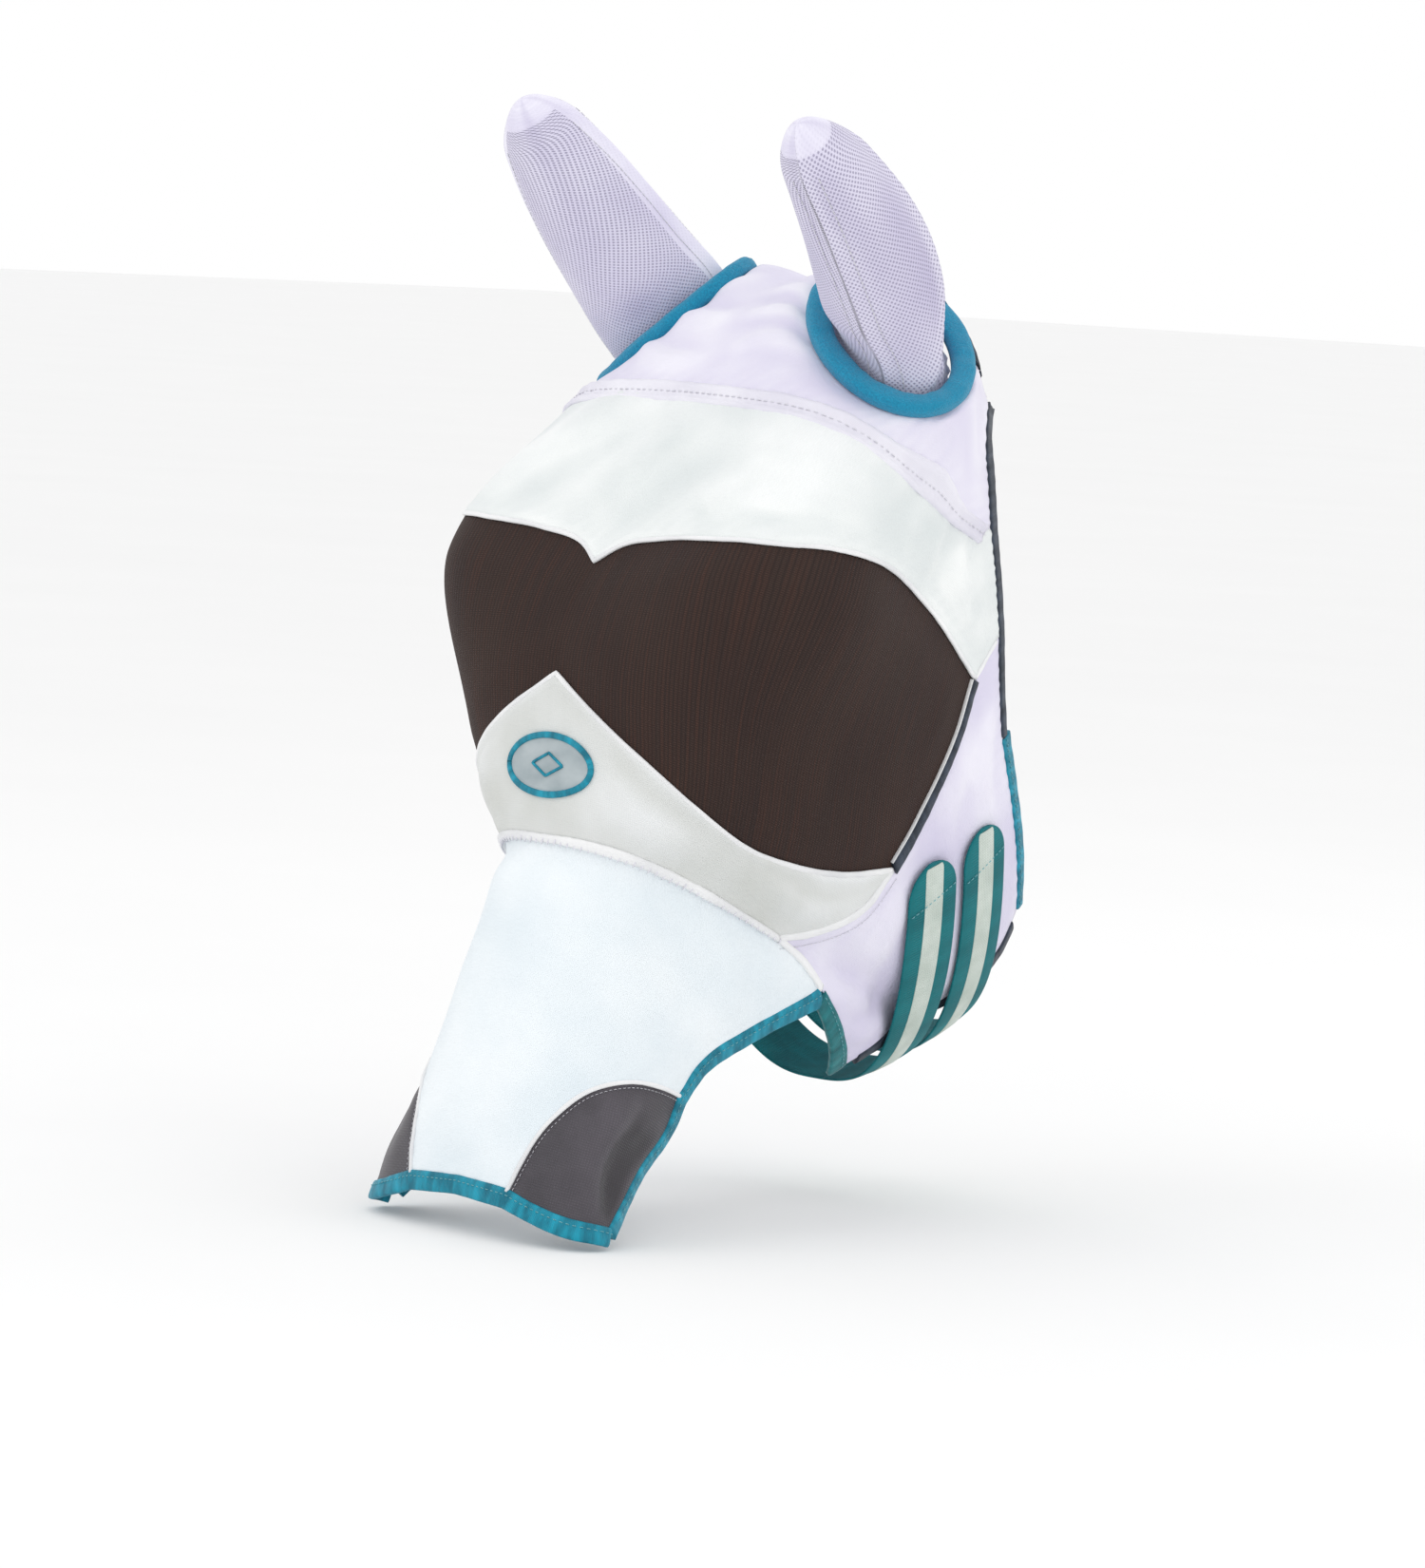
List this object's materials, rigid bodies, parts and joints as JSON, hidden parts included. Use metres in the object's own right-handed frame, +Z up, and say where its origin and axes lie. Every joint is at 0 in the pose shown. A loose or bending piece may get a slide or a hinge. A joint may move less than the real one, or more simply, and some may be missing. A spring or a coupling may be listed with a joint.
{
  "type": "horse fly mask",
  "caption": "Full-face horse fly mask: sewn fabric panels over a wide eye mesh, mesh ear covers in fleece rings, a nose extension with nostril inserts, and hook-and-loop jaw straps.",
  "frame": {"origin": "the poll: on the midline of the crown panel's inner face, between the ear rings, where the horse's head holds the mask up", "axes": "+Z up as worn, -Y the way the horse faces, +X the horse's left (near) side; the face runs down at 22 degrees forward of straight down"},
  "size_m": [0.275, 0.376, 0.6029],
  "materials": {
    "crown_lycra": "white stretch lycra with a faint lilac shade, matt",
    "cheek_lycra": "white stretch lycra with a faint lilac shade, matt",
    "ripstop": "white woven ripstop, slightly soft sheen",
    "nose_fabric": "smooth white woven fabric with a faint cool tint",
    "seam_roll": "white padded seam, topstitched",
    "eye_mesh": "fine dark brown ribbed mesh, semi-matt",
    "nostril_mesh": "fine charcoal mesh, semi-matt",
    "ear_mesh": "fine white knitted mesh with rows of holes",
    "ear_fleece": "bright teal fleece",
    "navy_tape": "charcoal navy woven tape",
    "teal_tape": "teal satin tape, soft gloss",
    "dark_teal_tape": "dark teal satin tape, soft gloss",
    "strap_webbing": "pale grey-green webbing",
    "hook_and_loop": "pale hook-and-loop tape",
    "badge_satin": "pale grey satin"
  },
  "bodies": {
    "root": {"crown_panel": "crown_lycra", "brow_seam_roll": "seam_roll", "ear_ring_left": "ear_fleece", "ear_ring_right": "ear_fleece", "brow_panel": "ripstop", "eye_mesh": "eye_mesh", "face_panel": "ripstop", "nose_panel": "nose_fabric", "nose_seam_roll": "seam_roll", "nostril_insert_left": "nostril_mesh", "nostril_insert_right": "nostril_mesh", "eye_piping_left": "navy_tape", "eye_piping_right": "navy_tape", "cheek_panel_left": "cheek_lycra", "cheek_panel_right": "cheek_lycra", "rear_binding": "navy_tape", "throat_binding_left": "teal_tape", "throat_binding_right": "teal_tape", "jaw_binding_left": "navy_tape", "jaw_binding_right": "navy_tape", "cheek_binding_left": "dark_teal_tape", "cheek_binding_right": "dark_teal_tape", "nose_side_binding_left": "teal_tape", "nose_side_binding_right": "teal_tape", "nose_front_binding": "teal_tape", "badge_field": "badge_satin", "badge_rim": "teal_tape", "front_strap_anchor": "dark_teal_tape", "front_loop_pad": "hook_and_loop", "rear_strap_anchor": "dark_teal_tape", "rear_loop_pad": "hook_and_loop"},
    "front_strap_base": {"front_strap_under": "dark_teal_tape"},
    "front_strap_end": {"front_strap_tab": "dark_teal_tape", "front_strap_stripe": "strap_webbing", "front_hook_pad": "hook_and_loop"},
    "rear_strap_base": {"rear_strap_under": "dark_teal_tape"},
    "rear_strap_end": {"rear_strap_tab": "dark_teal_tape", "rear_strap_stripe": "strap_webbing", "rear_hook_pad": "hook_and_loop"},
    "left_ear": {"ear_front_left": "ear_mesh", "ear_back_left": "ear_mesh"},
    "right_ear": {"ear_front_right": "ear_mesh", "ear_back_right": "ear_mesh"}
  },
  "joints": [
    {"name": "front_strap_swing", "type": "hinge", "parent": "root", "child": "front_strap_base", "pos_m": [-0.04625, 0.08612, -0.4219], "axis": [0, 0.9477, 0.3192], "range_deg": [0, 80]},
    {"name": "front_strap_uncurl", "type": "hinge", "parent": "front_strap_base", "child": "front_strap_end", "pos_m": [0.05361, 0.08364, -0.41444], "axis": [0, 0.9477, 0.3192], "range_deg": [0, 80]},
    {"name": "rear_strap_swing", "type": "hinge", "parent": "root", "child": "rear_strap_base", "pos_m": [-0.04704, 0.13118, -0.40555], "axis": [0, 0.9477, 0.3192], "range_deg": [0, 80]},
    {"name": "rear_strap_uncurl", "type": "hinge", "parent": "rear_strap_base", "child": "rear_strap_end", "pos_m": [0.05455, 0.12861, -0.39797], "axis": [0, 0.9477, 0.3192], "range_deg": [0, 80]},
    {"name": "left_ear_tilt", "type": "hinge", "parent": "root", "child": "left_ear", "pos_m": [0.077, 0.012, -0.027], "axis": [0.7566, -0.1624, -0.6334], "range_deg": [-18, 7], "stiffness_Nm_per_rad": 0.25},
    {"name": "right_ear_tilt", "type": "hinge", "parent": "root", "child": "right_ear", "pos_m": [-0.077, 0.012, -0.027], "axis": [0.7566, 0.1624, 0.6334], "range_deg": [-18, 7], "stiffness_Nm_per_rad": 0.25}
  ],
  "couplings": [
    {"joint": "front_strap_uncurl", "follows": "front_strap_swing", "ratio": 1},
    {"joint": "rear_strap_uncurl", "follows": "rear_strap_swing", "ratio": 1}
  ]
}
